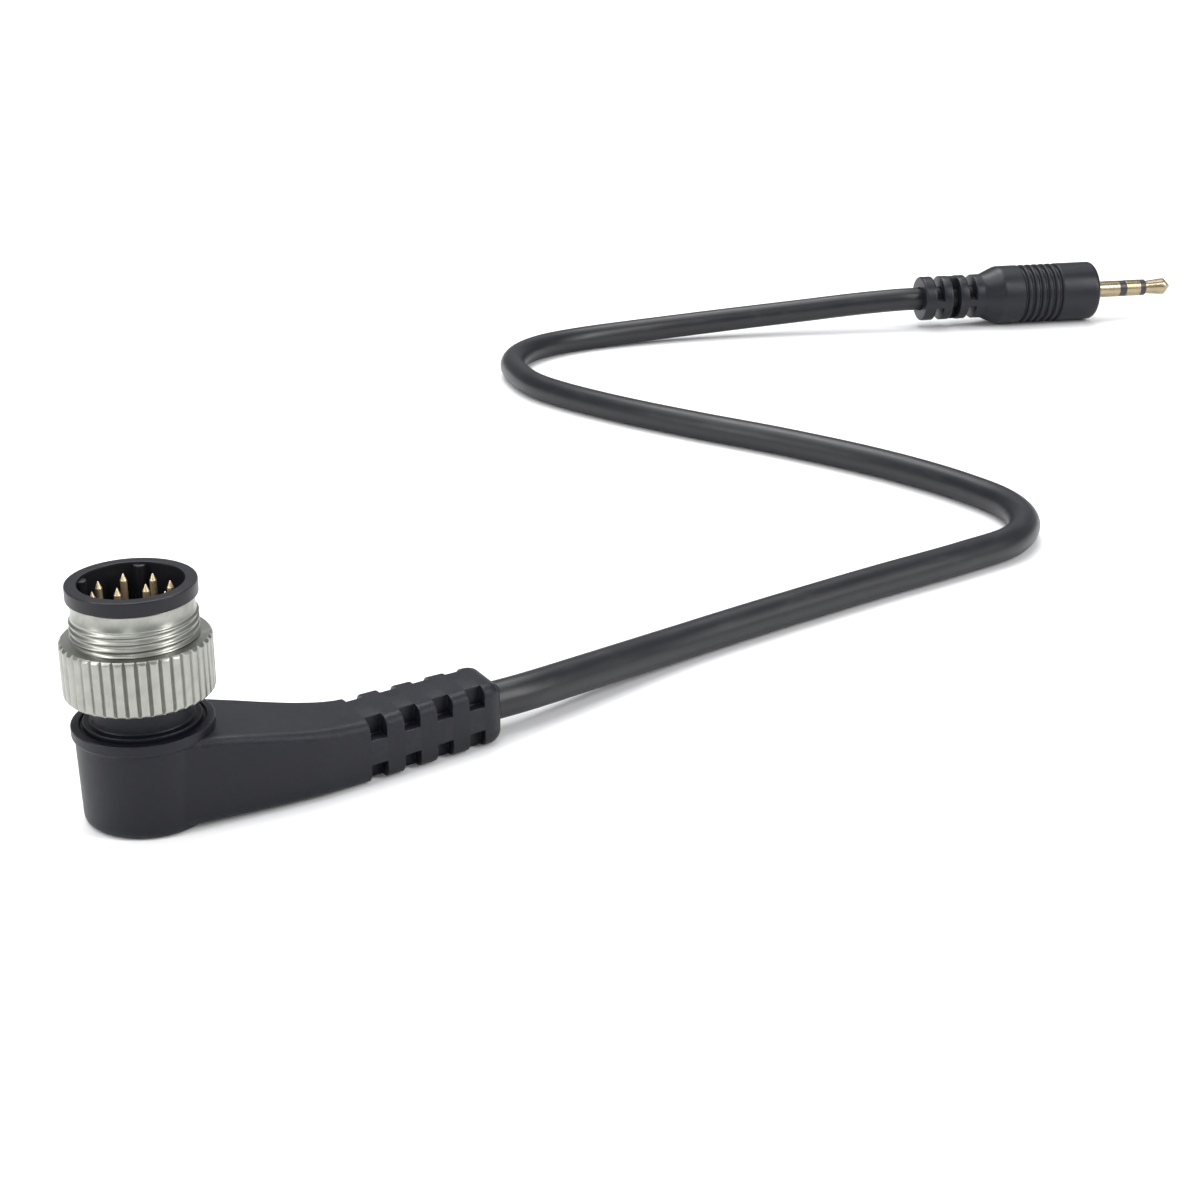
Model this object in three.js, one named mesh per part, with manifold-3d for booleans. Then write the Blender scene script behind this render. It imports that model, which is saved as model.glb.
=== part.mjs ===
// Right-angle screw-lock camera plug, moulded cable and three-pole jack, in millimetres with +Z up.
// The plug's own axis is Z at the origin, its base lies on z = 0, and its arm points along +X.
import * as THREE from 'three';
import { mergeVertices } from 'three/addons/utils/BufferGeometryUtils.js';
import Module from 'manifold-3d';

const wasm = await Module();
wasm.setup();

// ---- driving dimensions ----
const CABLE_R = 1.7;
const FIT = 0.1;

const POT = { foot: 5.2, head: 5.35, edge: 0.7, floor: 1.3, bore: 3.9 };
const FLANGE = { bottom: 7.25, top: 8.25, radius: 5.6, lip: 4.95, groove: 8.05, seat: 4.35 };
const NECK = { radius: 4.07, bore: 3.5, foot: 6.7, top: 12.4, step: 4.65, stepTop: 8.52 };

const CUP = { wall: 4.3, inner: 4.08, bottom: 12.5, rimBottom: 18.65, rimTop: 19.8, rimRadius: 5.06 };
const RIB = { radius: 0.53, angles: [144, 63, -121], bottom: 14.9, top: 19.6 };
const CARRIER = { radius: 3.98, bottom: 12.7, top: 15.0 };
const PIN = { radius: 0.28, bottom: 11.3, shoulder: 18.75, tip: 19.3, outer: 3.0, inner: 1.1, turn: 174.6 };

const RING = { bottom: 10.7, shoulder: 15.3, top: 18.55, radius: 5.9, lead: 4.76, lower: 4.3, bore: 4.42 };
const KNURL = { teeth: 40, depth: 0.25, chamfer: 0.26, bevel: 0.22 };
const THREAD = { crest: 4.98, root: 4.8, start: 0.28, pitch: 0.57, turns: 3 };
const CLIP = { inner: 4.2, outer: 4.75, bottom: 11.8, top: 12.2, gap: 50 };

const ARM_Z = 2.85;
const ARM_TURN = -6.5;
const RELIEF_END = 30.3;
const RELIEF_HALF = 2.75;
const NOTCH = { first: 17.25, pitch: 3.2, width: 1.55, web: 1.08, core: 1.85, count: 4 };
const CHANNEL = { radius: 2.15, end: 14.0 };
const CABLE_START = 11.0;

const JACK = { x: 153.2, y: 97.1, z: 4.5, angle: -17.5 };
const HANDLE = {
  relief: 3.3, body: 4.38, coneStart: 9.7, coneEnd: 12.2, front: 27.95, cavity: 3.4, wall: 27.0,
};
const SLOT = { centres: [2.35, 4.95, 7.55], width: 1.25, web: 1.0, roll: 7 };
const GRIP = { first: 15.95, pitch: 1.11, depth: 0.4, count: 6 };
const JACK_CABLE_END = 14.2;
const POLE = { radius: 1.25, sleeveEnd: 32.6, ringStart: 33.7, ringEnd: 36.05, tipStart: 36.95, end: 41.35 };

const WIRE_R = 0.35;

// ---- materials ----
function finish(color, roughness, metalness) {
  return new THREE.MeshStandardMaterial({ color, roughness, metalness });
}
const mouldedBlack = finish(0x2c2d32, 0.6, 0.0);
const insertBlack = finish(0x202125, 0.55, 0.0);
const cableBlack = finish(0x292a2f, 0.42, 0.0);
const nickel = finish(0xb7b7ae, 0.34, 1.0);
const gold = finish(0xcdb277, 0.28, 1.0);
const springSteel = finish(0xa2a5a8, 0.4, 1.0);
const innerGrey = finish(0x8d9094, 0.7, 0.0);

// ---- helpers ----
// One closed body from any geometry: welded, without collapsed faces, and facing outwards.
function body(geometry) {
  const bare = geometry.clone();
  bare.deleteAttribute('normal');
  bare.deleteAttribute('uv');
  const welded = mergeVertices(bare, 1e-4);
  const position = welded.attributes.position;
  const faces = [];
  let volume = 0;
  const corner = [new THREE.Vector3(), new THREE.Vector3(), new THREE.Vector3()];
  for (let i = 0; i < welded.index.count; i += 3) {
    const face = [0, 1, 2].map((k) => welded.index.getX(i + k));
    if (new Set(face).size < 3) continue;
    face.forEach((vertex, k) => corner[k].fromBufferAttribute(position, vertex));
    volume += corner[0].dot(corner[1].clone().cross(corner[2]));
    faces.push(face);
  }
  const order = volume > 0 ? faces : faces.map(([a, b, c]) => [a, c, b]);
  return new wasm.Manifold(new wasm.Mesh({
    numProp: 3,
    vertProperties: new Float32Array(position.array),
    triVerts: new Uint32Array(order.flat()),
  }));
}

function asGeometry(solid) {
  const mesh = solid.getMesh();
  const geometry = new THREE.BufferGeometry();
  geometry.setAttribute('position', new THREE.BufferAttribute(new Float32Array(mesh.vertProperties), 3));
  geometry.setIndex(new THREE.BufferAttribute(new Uint32Array(mesh.triVerts), 1));
  geometry.computeVertexNormals();
  return geometry;
}

function part(name, solid, material) {
  const mesh = new THREE.Mesh(asGeometry(solid), material);
  mesh.name = name;
  return mesh;
}

// A turned body about Z from [radius, height] pairs, closed on the axis or back to its first point.
function turned(profile, segments = 36) {
  const points = profile.map(([r, z]) => new THREE.Vector2(r, z));
  const lathe = new THREE.LatheGeometry(points, segments);
  lathe.rotateX(Math.PI / 2);
  return body(lathe);
}

function ringBody(inner, outer, bottom, top, segments = 36) {
  return turned([[inner, bottom], [outer, bottom], [outer, top], [inner, top], [inner, bottom]], segments);
}

function disc(radius, bottom, top, segments = 36) {
  return turned([[0, bottom], [radius, bottom], [radius, top], [0, top]], segments);
}

function box(x0, x1, y0, y1, z0, z1) {
  const geometry = new THREE.BoxGeometry(x1 - x0, y1 - y0, z1 - z0);
  geometry.translate((x0 + x1) / 2, (y0 + y1) / 2, (z0 + z1) / 2);
  return body(geometry);
}

// Turns a body made about Z so that its axis lies along the arm as it leaves the pot.
function alongArm(solid) {
  return solid.rotate([0, 90, 0]).rotate([0, 0, ARM_TURN]).translate([0, 0, ARM_Z]);
}

// A point given along, across and above the axis on which the arm leaves the pot.
function onArm(x, y, z) {
  const turn = THREE.MathUtils.degToRad(ARM_TURN);
  return [x * Math.cos(turn) - y * Math.sin(turn), x * Math.sin(turn) + y * Math.cos(turn), ARM_Z + z];
}

function polar(radius, degrees) {
  const angle = THREE.MathUtils.degToRad(degrees);
  return [radius * Math.cos(angle), radius * Math.sin(angle)];
}

// A plain round cord along a curve.
function cord(points, radius, sides, steps) {
  const circle = new THREE.Shape();
  for (let i = 0; i < sides; i += 1) {
    const [x, y] = polar(radius, (360 * i) / sides);
    if (i === 0) circle.moveTo(x, y);
    else circle.lineTo(x, y);
  }
  const path = new THREE.CatmullRomCurve3(points.map((p) => new THREE.Vector3(...p)), false, 'centripetal');
  return body(new THREE.ExtrudeGeometry(circle, { steps, bevelEnabled: false, extrudePath: path }));
}

// ---- plug housing: pot, flange, arm and strain relief in one moulding ----
// The arm leaves the pot turned to one side and its relief curves back.
const RELIEF_TOP = ARM_Z + RELIEF_HALF;
const RELIEF_FOOT = ARM_Z - RELIEF_HALF;
// Cross-sections of the arm: x, centre y, half width, top, bottom and corner radius.
const ARM_SECTIONS = [
  [1.0, -0.1, 4.98, 7.75, 0.35, 0.6],
  [5.0, -0.55, 4.65, 7.35, 0.3, 0.7],
  [8.0, -0.92, 4.35, 6.85, 0.26, 0.75],
  [11.0, -1.27, 3.97, 6.3, 0.22, 0.8],
  [13.5, -1.52, 3.62, 5.92, 0.17, 0.85],
  [15.5, -1.57, 3.32, 5.7, 0.12, 0.9],
  [17.0, -1.5, 3.2, RELIEF_TOP, RELIEF_FOOT, 0.9],
  [20.0, -1.2, 3.13, RELIEF_TOP, RELIEF_FOOT, 0.9],
  [23.0, -0.88, 3.03, RELIEF_TOP, RELIEF_FOOT, 0.9],
  [26.2, -0.55, 2.92, RELIEF_TOP, RELIEF_FOOT, 0.9],
  [RELIEF_END - 0.9, -0.27, 2.8, RELIEF_TOP, RELIEF_FOOT, 0.9],
  [RELIEF_END - 0.3, -0.21, 2.65, RELIEF_TOP - 0.15, RELIEF_FOOT + 0.15, 0.85],
  [RELIEF_END - 0.05, -0.185, 2.35, RELIEF_TOP - 0.5, RELIEF_FOOT + 0.5, 0.7],
  [RELIEF_END, -0.18, 2.05, RELIEF_TOP - 0.8, RELIEF_FOOT + 0.8, 0.5],
];
// The cable's line through the relief, and the first free point after it.
const RELIEF_LINE = [
  [14, -1.57, ARM_Z], [17, -1.5, ARM_Z], [20, -1.2, ARM_Z], [23, -0.88, ARM_Z], [26.5, -0.52, ARM_Z],
  [RELIEF_END, -0.18, ARM_Z], [34, 0.25, ARM_Z - 0.05],
];

function roundedSection([x, middle, half, top, bottom, radius]) {
  const points = [];
  const centres = [
    [half - radius, top - radius],
    [-half + radius, top - radius],
    [-half + radius, bottom + radius],
    [half - radius, bottom + radius],
  ];
  centres.forEach(([y, z], quarter) => {
    for (let step = 0; step <= 4; step += 1) {
      const [dy, dz] = polar(radius, 90 * quarter + 22.5 * step);
      points.push([x, middle + y + dy, z + dz]);
    }
  });
  return points;
}

function loft(sections) {
  const rings = sections.map(roundedSection);
  const count = rings[0].length;
  const positions = rings.flat(2);
  const index = [];
  for (let s = 0; s + 1 < rings.length; s += 1) {
    for (let i = 0; i < count; i += 1) {
      const a = s * count + i;
      const b = s * count + ((i + 1) % count);
      index.push(a, b, b + count, a, b + count, a + count);
    }
  }
  const last = (rings.length - 1) * count;
  for (let i = 1; i + 1 < count; i += 1) {
    index.push(0, i + 1, i);
    index.push(last, last + i, last + i + 1);
  }
  const geometry = new THREE.BufferGeometry();
  geometry.setAttribute('position', new THREE.Float32BufferAttribute(positions, 3));
  geometry.setIndex(index);
  return body(geometry);
}

function armMiddle(x) {
  const next = ARM_SECTIONS.findIndex((section) => section[0] >= x);
  const [from, to] = [ARM_SECTIONS[next - 1], ARM_SECTIONS[next]];
  return from[1] + ((to[1] - from[1]) * (x - from[0])) / (to[0] - from[0]);
}

// Four rows of notches, cut into each long corner and leaving a cross-shaped core round the cable.
function notches() {
  const cuts = [];
  for (let row = 0; row < NOTCH.count; row += 1) {
    const x = NOTCH.first + row * NOTCH.pitch;
    const middle = armMiddle(x + NOTCH.width / 2);
    for (const side of [-1, 1]) {
      for (const end of [-1, 1]) {
        const [y0, y1] = [middle + side * NOTCH.core, middle + side * 4.5].sort((a, b) => a - b);
        const [z0, z1] = [ARM_Z + end * NOTCH.web, ARM_Z + end * 4].sort((a, b) => a - b);
        cuts.push(box(x, x + NOTCH.width, y0, y1, z0, z1));
      }
    }
  }
  return wasm.Manifold.union(cuts);
}

function housing() {
  const { foot, head, edge, floor, bore } = POT;
  const pot = turned([
    [0, 0], [foot - edge, 0], [foot - 0.5 * edge, 0.13 * edge], [foot - 0.13 * edge, 0.5 * edge],
    [foot, edge], [head, FLANGE.bottom - 0.1], [FLANGE.radius - 0.05, FLANGE.bottom + 0.1],
    [FLANGE.radius, FLANGE.bottom + 0.25], [FLANGE.radius, FLANGE.top - 0.15],
    [FLANGE.radius - 0.12, FLANGE.top], [FLANGE.lip, FLANGE.top], [FLANGE.lip - 0.08, FLANGE.groove],
    [0, FLANGE.groove],
  ], 48);
  const hollow = turned([
    [0, floor], [bore, floor], [bore, NECK.foot - 0.1], [FLANGE.seat, NECK.foot - 0.1],
    [FLANGE.seat, 9], [0, 9],
  ]);
  const channel = alongArm(disc(CHANNEL.radius, 3, CHANNEL.end, 24));
  const cableHole = cord([onArm(13, 0, 0), ...RELIEF_LINE], CABLE_R + FIT, 24, 24);
  const arm = loft(ARM_SECTIONS).subtract(disc(4.6, 7.2, 9));
  return pot.add(arm).subtract(hollow).subtract(channel).subtract(cableHole).subtract(notches());
}

// ---- parts inside the pot ----
function innerMould() {
  const tube = ringBody(2.5, POT.bore - FIT, POT.floor + 0.1, 6.2);
  return tube.subtract(box(0, 5, -2.1, 2.1, 0.5, 5.2));
}

function neckCollar() {
  const { radius, bore, foot, top, step, stepTop } = NECK;
  return turned([
    [bore, foot], [FLANGE.seat - FIT, foot], [FLANGE.seat - FIT, FLANGE.groove + 0.05],
    [step, FLANGE.groove + 0.05], [step, stepTop - 0.1], [step - 0.1, stepTop],
    [radius + 0.06, stepTop], [radius, stepTop + 0.06], [radius, top], [bore, top], [bore, foot],
  ]);
}

// ---- nose: insulating cup, carrier and contacts ----
function insulatorCup() {
  const { wall, inner, bottom, rimBottom, rimTop, rimRadius } = CUP;
  let cup = turned([
    [inner, bottom], [wall, bottom], [wall, rimBottom], [rimRadius - 0.05, rimBottom],
    [rimRadius, rimBottom + 0.08], [rimRadius, rimTop - 0.1], [rimRadius - 0.1, rimTop],
    [inner + 0.12, rimTop], [inner, rimTop - 0.12], [inner, bottom],
  ], 48);
  for (const angle of RIB.angles) {
    const [x, y] = polar(inner, angle);
    const rib = disc(RIB.radius, RIB.bottom, RIB.top, 24).translate([x, y, 0]);
    const inside = disc(inner + 0.1, RIB.bottom, RIB.top, 48);
    cup = cup.add(rib.intersect(inside));
  }
  return cup;
}

function pinPlaces() {
  const places = [];
  for (let i = 0; i < 8; i += 1) places.push(polar(PIN.outer, PIN.turn - 45 * i));
  for (let i = 0; i < 2; i += 1) places.push(polar(PIN.inner, PIN.turn - 180 * i));
  return places;
}

function contactCarrier() {
  const { radius, bottom, top } = CARRIER;
  let carrier = turned([[0, bottom], [radius, bottom], [radius, top - 0.2], [radius - 0.2, top], [0, top]]);
  for (const [x, y] of pinPlaces()) {
    carrier = carrier.subtract(disc(PIN.radius + 0.07, bottom - 1, top + 1, 12).translate([x, y, 0]));
  }
  for (const angle of RIB.angles) {
    const [x, y] = polar(CUP.inner, angle);
    carrier = carrier.subtract(disc(RIB.radius + FIT, RIB.bottom - 0.1, top + 1, 24).translate([x, y, 0]));
  }
  return carrier;
}

function contactPin([x, y]) {
  const { radius, bottom, shoulder, tip } = PIN;
  const pin = turned([
    [0, bottom], [radius - 0.06, bottom], [radius, bottom + 0.1], [radius, shoulder],
    [radius - 0.09, shoulder + 0.22], [0, tip],
  ], 10);
  return pin.translate([x, y, 0]);
}

// ---- coupling ring: knurled grip, threaded nose and smooth lead, turned from one bar ----
function knurl() {
  const { teeth, depth, chamfer, bevel } = KNURL;
  const outline = new THREE.Shape();
  const marks = [[0.15, 0], [0.85, 0], [0.97, depth], [1.03, depth]];
  for (let tooth = 0; tooth < teeth; tooth += 1) {
    marks.forEach(([offset, cut], k) => {
      const [x, y] = polar(RING.radius - cut, ((tooth + offset) * 360) / teeth);
      if (tooth === 0 && k === 0) outline.moveTo(x, y);
      else outline.lineTo(x, y);
    });
  }
  const height = RING.shoulder - RING.bottom;
  const teethBody = body(new THREE.ExtrudeGeometry(outline, { depth: height, bevelEnabled: false }));
  const envelope = turned([
    [0, RING.bottom], [RING.radius - bevel, RING.bottom], [RING.radius + 0.01, RING.bottom + chamfer],
    [RING.radius + 0.01, RING.shoulder - chamfer], [RING.radius - bevel, RING.shoulder],
    [0, RING.shoulder],
  ], 40);
  return teethBody.translate([0, 0, RING.bottom]).intersect(envelope);
}

function couplingRing() {
  const { crest, root, start, pitch, turns } = THREAD;
  const nose = [
    [0, RING.shoulder - 0.5], [crest, RING.shoulder - 0.5], [crest, RING.shoulder + 0.06],
    [root, RING.shoulder + start - 0.03],
  ];
  for (let turn = 0; turn < turns; turn += 1) {
    const z = RING.shoulder + start + turn * pitch;
    nose.push([root, z], [crest, z + 0.38 * pitch], [crest, z + 0.56 * pitch], [root, z + 0.94 * pitch]);
  }
  nose.push([RING.lead, nose.at(-1)[1] + 0.05], [RING.lead, RING.top - 0.1], [RING.lead - 0.1, RING.top]);
  nose.push([0, RING.top]);
  const groove = [CLIP.bottom - 0.15, CLIP.top + 0.15];
  const hole = turned([
    [0, RING.bottom - 1], [RING.lower + 0.15, RING.bottom - 1], [RING.lower + 0.15, RING.bottom],
    [RING.lower, RING.bottom + 0.15], [RING.lower, groove[0]], [CLIP.outer + 0.15, groove[0]],
    [CLIP.outer + 0.15, groove[1]], [RING.bore, groove[1]], [RING.bore, RING.top + 1], [0, RING.top + 1],
  ], 48);
  return knurl().add(turned(nose, 48)).subtract(hole);
}

// Open spring ring that rides in the coupling ring's inner groove and slides on the neck with it.
function ringClip() {
  const { inner, outer, bottom, top, gap } = CLIP;
  const whole = ringBody(inner, outer, bottom, top, 36);
  const half = THREE.MathUtils.degToRad(gap / 2);
  const mouth = new THREE.Shape([
    new THREE.Vector2(0, 0),
    new THREE.Vector2(8 * Math.cos(half), 8 * Math.sin(half)),
    new THREE.Vector2(8 * Math.cos(half), -8 * Math.sin(half)),
  ]);
  const wedge = body(new THREE.ExtrudeGeometry(mouth, { depth: 2, bevelEnabled: false }));
  return whole.subtract(wedge.translate([0, 0, bottom - 0.5]));
}

// ---- leads and crimp inside the arm ----
function plugLeads() {
  const ends = [pinPlaces()[8], pinPlaces()[3], pinPlaces()[5]];
  const rows = [[0, 0.9], [0.85, -0.45], [-0.85, -0.45]];
  return rows.map(([y, z], k) => {
    const [px, py] = ends[k];
    return cord([
      onArm(CABLE_START - 0.3, y, z), onArm(8, y, z), onArm(4, y, z),
      onArm(1.3, 0.8 * y, z + 1.2), [0.5 * px, 0.5 * py, 6.6],
      [px, py, 9.6], [px, py, PIN.bottom - 0.3],
    ], WIRE_R, 6, 16);
  });
}

// ---- cable: from the crimp in the arm, along the floor in two bends, and into the jack handle ----
const jackAngle = THREE.MathUtils.degToRad(JACK.angle);

function onJackAxis(distance) {
  return [JACK.x + distance * Math.cos(jackAngle), JACK.y + distance * Math.sin(jackAngle), JACK.z];
}

const CABLE_ROUTE = [
  onArm(CABLE_START, 0, 0),
  ...RELIEF_LINE,
  [42, 2.3, 2.35],
  [52, 4.9, 1.8],
  [63, 6.8, CABLE_R],
  [78, 8.8, CABLE_R],
  [91, 10.2, CABLE_R],
  [99, 11.7, CABLE_R],
  [103.8, 15.4, CABLE_R],
  [106.2, 21, CABLE_R],
  [106, 29, CABLE_R],
  [103.5, 40, CABLE_R],
  [98.5, 53, CABLE_R],
  [92.5, 65.5, CABLE_R],
  [88, 76, CABLE_R],
  [84.8, 86, CABLE_R],
  [83.9, 92, CABLE_R],
  [84.6, 98, CABLE_R],
  [86.4, 103.2, CABLE_R],
  [89.9, 107.3, CABLE_R],
  [94.8, 109.9, CABLE_R],
  [101.5, 110.9, CABLE_R],
  [112, 109.9, 1.95],
  [122.5, 107.5, 2.5],
  [134.5, 103.7, 3.35],
  [144.5, 100.2, 4.15],
  onJackAxis(-3),
  onJackAxis(-0.5),
  onJackAxis(4),
  onJackAxis(9),
  onJackAxis(JACK_CABLE_END),
];

// ---- jack: built along +X from the handle's cable end, then set down at its place ----
function alongJack(solid) {
  return solid.rotate([0, 90, 0]).rotate([0, 0, JACK.angle]).translate([JACK.x, JACK.y, JACK.z]);
}

// Each row is a ring slot down to the cable, broken by two webs; the webs turn a quarter row by row.
function reliefSlots() {
  const rows = SLOT.centres.map((centre, row) => {
    const [bottom, top] = [centre - SLOT.width / 2, centre + SLOT.width / 2];
    const slot = disc(HANDLE.relief + 1, bottom, top, 36);
    const half = SLOT.web / 2;
    const web = box(-half, half, -6, 6, bottom - 1, top + 1).rotate([0, 0, SLOT.roll + 90 * (row % 2)]);
    return slot.subtract(web);
  });
  return wasm.Manifold.union(rows);
}

function jackHandle() {
  const { relief, body: thick, coneStart, coneEnd, front, cavity, wall } = HANDLE;
  const outline = [[0, 0], [relief - 0.5, 0], [relief - 0.15, 0.15], [relief, 0.5], [relief, coneStart]];
  outline.push([thick - 0.2, coneEnd - 0.25], [thick, coneEnd + 0.1]);
  for (let groove = 0; groove < GRIP.count; groove += 1) {
    const x = GRIP.first + groove * GRIP.pitch;
    outline.push([thick, x - 0.3], [thick - GRIP.depth, x], [thick, x + 0.3]);
  }
  outline.push([thick, front - 0.7], [thick - 0.15, front - 0.25], [thick - 0.6, front], [0, front]);
  const hole = turned([
    [0, -1], [CABLE_R + FIT, -1], [CABLE_R + FIT, 11.2], [2.05, 11.2], [2.05, 14.5], [cavity, 14.5],
    [cavity, wall], [POLE.radius + 0.07, wall], [POLE.radius + 0.07, front + 1], [0, front + 1],
  ]);
  return alongJack(turned(outline, 32).subtract(hole).subtract(reliefSlots()));
}

function jackInner() {
  const outer = HANDLE.cavity - FIT;
  return alongJack(turned([
    [1.65, 14.6], [outer, 14.6], [outer, HANDLE.wall - 0.1], [2.35, HANDLE.wall - 0.1], [2.35, 24.5],
    [1.65, 24.5], [1.65, 14.6],
  ], 36));
}

// Sleeve, ring and tip are coaxial: each reaches back through the one in front of it.
function jackSleeve() {
  const { radius, sleeveEnd } = POLE;
  return alongJack(turned([
    [0.78, 25.2], [2.2, 25.2], [2.2, 26.7], [radius, 26.7], [radius, sleeveEnd - 0.05],
    [radius - 0.05, sleeveEnd], [0.78, sleeveEnd], [0.78, 25.2],
  ], 20));
}

function jackRing() {
  const { radius, ringStart, ringEnd } = POLE;
  return alongJack(turned([
    [0.45, 25.8], [0.64, 25.8], [0.64, ringStart], [radius - 0.05, ringStart], [radius, ringStart + 0.05],
    [radius, ringEnd - 0.05], [radius - 0.05, ringEnd], [0.45, ringEnd], [0.45, 25.8],
  ], 20));
}

function jackTip() {
  const { radius, tipStart, end } = POLE;
  return alongJack(turned([
    [0, 26.4], [0.33, 26.4], [0.33, tipStart], [0.98, tipStart], [1.0, tipStart + 0.4],
    [1.09, tipStart + 1.4], [1.19, tipStart + 2.4], [radius, tipStart + 3.0], [radius - 0.05, tipStart + 3.3],
    [0.85, end - 0.65], [0.42, end - 0.25], [0.16, end - 0.04], [0, end],
  ], 20));
}

function jackLeads() {
  return [90, 210, 330].map((angle) => {
    const [x, y] = polar(0.85, angle);
    return alongJack(disc(WIRE_R, JACK_CABLE_END + 0.3, 24.9, 8).translate([x, y, 0]));
  });
}

// ---- assembly ----
const model = new THREE.Group();
const plug = new THREE.Group();
const lead = new THREE.Group();
model.add(plug, lead);

plug.add(part('angle_housing', housing(), mouldedBlack));
plug.add(part('inner_mould', innerMould(), innerGrey));
plug.add(part('neck_collar', neckCollar(), mouldedBlack));
plug.add(part('insulator_cup', insulatorCup(), mouldedBlack));
plug.add(part('contact_carrier', contactCarrier(), insertBlack));
pinPlaces().forEach((place, k) => {
  plug.add(part(`contact_pin_${String(k + 1).padStart(2, '0')}`, contactPin(place), gold));
});
plug.add(part('coupling_ring', couplingRing(), nickel));
plug.add(part('ring_clip', ringClip(), springSteel));
const crimp = ringBody(CABLE_R + 0.07, CHANNEL.radius - FIT, CABLE_START + 0.2, CHANNEL.end - 0.6, 24);
plug.add(part('cable_crimp', alongArm(crimp), springSteel));
plugLeads().forEach((wire, k) => plug.add(part(`plug_lead_${k + 1}`, wire, innerGrey)));

lead.add(part('cable_jacket', cord(CABLE_ROUTE, CABLE_R, 8, 80), cableBlack));
lead.add(part('jack_handle', jackHandle(), mouldedBlack));
lead.add(part('jack_inner_mould', jackInner(), innerGrey));
lead.add(part('jack_crimp', alongJack(ringBody(CABLE_R + 0.07, 1.97, 11.4, 14.0, 24)), springSteel));
lead.add(part('jack_sleeve', jackSleeve(), gold));
const { radius: pole, sleeveEnd, ringStart, ringEnd, tipStart } = POLE;
const bands = [[0.72, sleeveEnd + 0.04, ringStart - 0.04], [0.41, ringEnd + 0.04, tipStart - 0.04]];
bands.forEach(([hole, start, end], k) => {
  lead.add(part(`jack_band_${k + 1}`, alongJack(ringBody(hole, pole - 0.02, start, end, 20)), insertBlack));
});
lead.add(part('jack_ring', jackRing(), gold));
lead.add(part('jack_tip', jackTip(), gold));
jackLeads().forEach((wire, k) => lead.add(part(`jack_lead_${k + 1}`, wire, innerGrey)));

export default model;
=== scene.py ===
"""Right-angle screw-lock camera plug with its moulded cable and three-pole jack, lying on a pale table.

Metres, +Z up. The plug's own axis is Z through the origin and its arm points along +X.
"""

import bpy
import numpy as np
from mathutils import Matrix, Vector


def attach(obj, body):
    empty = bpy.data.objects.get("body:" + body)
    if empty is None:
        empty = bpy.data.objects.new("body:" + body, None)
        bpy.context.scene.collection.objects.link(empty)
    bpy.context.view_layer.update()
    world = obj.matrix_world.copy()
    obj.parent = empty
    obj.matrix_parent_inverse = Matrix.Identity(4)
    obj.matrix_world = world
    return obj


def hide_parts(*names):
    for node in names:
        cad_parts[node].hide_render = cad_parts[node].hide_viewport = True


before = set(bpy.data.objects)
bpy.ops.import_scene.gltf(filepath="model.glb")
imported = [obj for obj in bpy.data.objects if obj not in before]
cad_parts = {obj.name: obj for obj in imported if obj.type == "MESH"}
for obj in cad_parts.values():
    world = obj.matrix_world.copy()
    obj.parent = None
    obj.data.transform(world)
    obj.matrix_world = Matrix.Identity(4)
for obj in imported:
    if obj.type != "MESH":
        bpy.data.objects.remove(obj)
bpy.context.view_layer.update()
MM = 0.001

# ---- Viewpoint ----
# A short tele lens on a stand in front of the plug, a little above it.
# It looks along the arm towards the jack, so the plug is nearest and largest.
EYE = Vector((-41.23, -144.33, 75.46)) * MM
HEADING, TILT = np.radians(60.2), np.radians(-21.466)
gaze = Vector((np.cos(TILT) * np.cos(HEADING), np.cos(TILT) * np.sin(HEADING), np.sin(TILT)))
lens = bpy.data.cameras.new("viewpoint")
lens.lens, lens.sensor_width, lens.clip_start = 61.1, 36.0, 0.005
viewpoint = bpy.data.objects.new("viewpoint", lens)
viewpoint.location = EYE
viewpoint.rotation_euler = gaze.to_track_quat("-Z", "Y").to_euler()
bpy.context.scene.collection.objects.link(viewpoint)
bpy.context.scene.camera = viewpoint

# ---- Cable ----
# Round lead with an extruded vinyl jacket, 3.4 mm across, moulded into the plug at one end and
# the jack handle at the other. It lies on the table in two easy bends.
CABLE_R = 1.7
ARM_Z = 2.85
RELIEF_END = 30.3
JACK_FOOT = np.array([153.2, 97.1, 4.5])
JACK_TURN = np.radians(-17.5)
JACK_AXIS = np.array([np.cos(JACK_TURN), np.sin(JACK_TURN), 0.0])
JACK_CABLE_END = 14.2
ARM_TURN = np.radians(-6.5)
CABLE_START = np.array([11 * np.cos(ARM_TURN), 11 * np.sin(ARM_TURN), ARM_Z])
ROUTE = [
    list(CABLE_START), [14, -1.57, ARM_Z], [17, -1.5, ARM_Z], [20, -1.2, ARM_Z], [23, -0.88, ARM_Z],
    [26.5, -0.52, ARM_Z], [RELIEF_END, -0.18, ARM_Z], [34, 0.25, 2.8], [42, 2.3, 2.35], [52, 4.9, 1.8],
    [63, 6.8, 1.7], [78, 8.8, 1.7], [91, 10.2, 1.7], [99, 11.7, 1.7], [103.8, 15.4, 1.7],
    [106.2, 21, 1.7], [106, 29, 1.7], [103.5, 40, 1.7], [98.5, 53, 1.7], [92.5, 65.5, 1.7],
    [88, 76, 1.7], [84.8, 86, 1.7], [83.9, 92, 1.7], [84.6, 98, 1.7], [86.4, 103.2, 1.7],
    [89.9, 107.3, 1.7], [94.8, 109.9, 1.7], [101.5, 110.9, 1.7], [112, 109.9, 1.95],
    [122.5, 107.5, 2.5], [134.5, 103.7, 3.35], [144.5, 100.2, 4.15],
] + [list(JACK_FOOT + d * JACK_AXIS) for d in (-3, -0.5, 4, 9, JACK_CABLE_END)]


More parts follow.
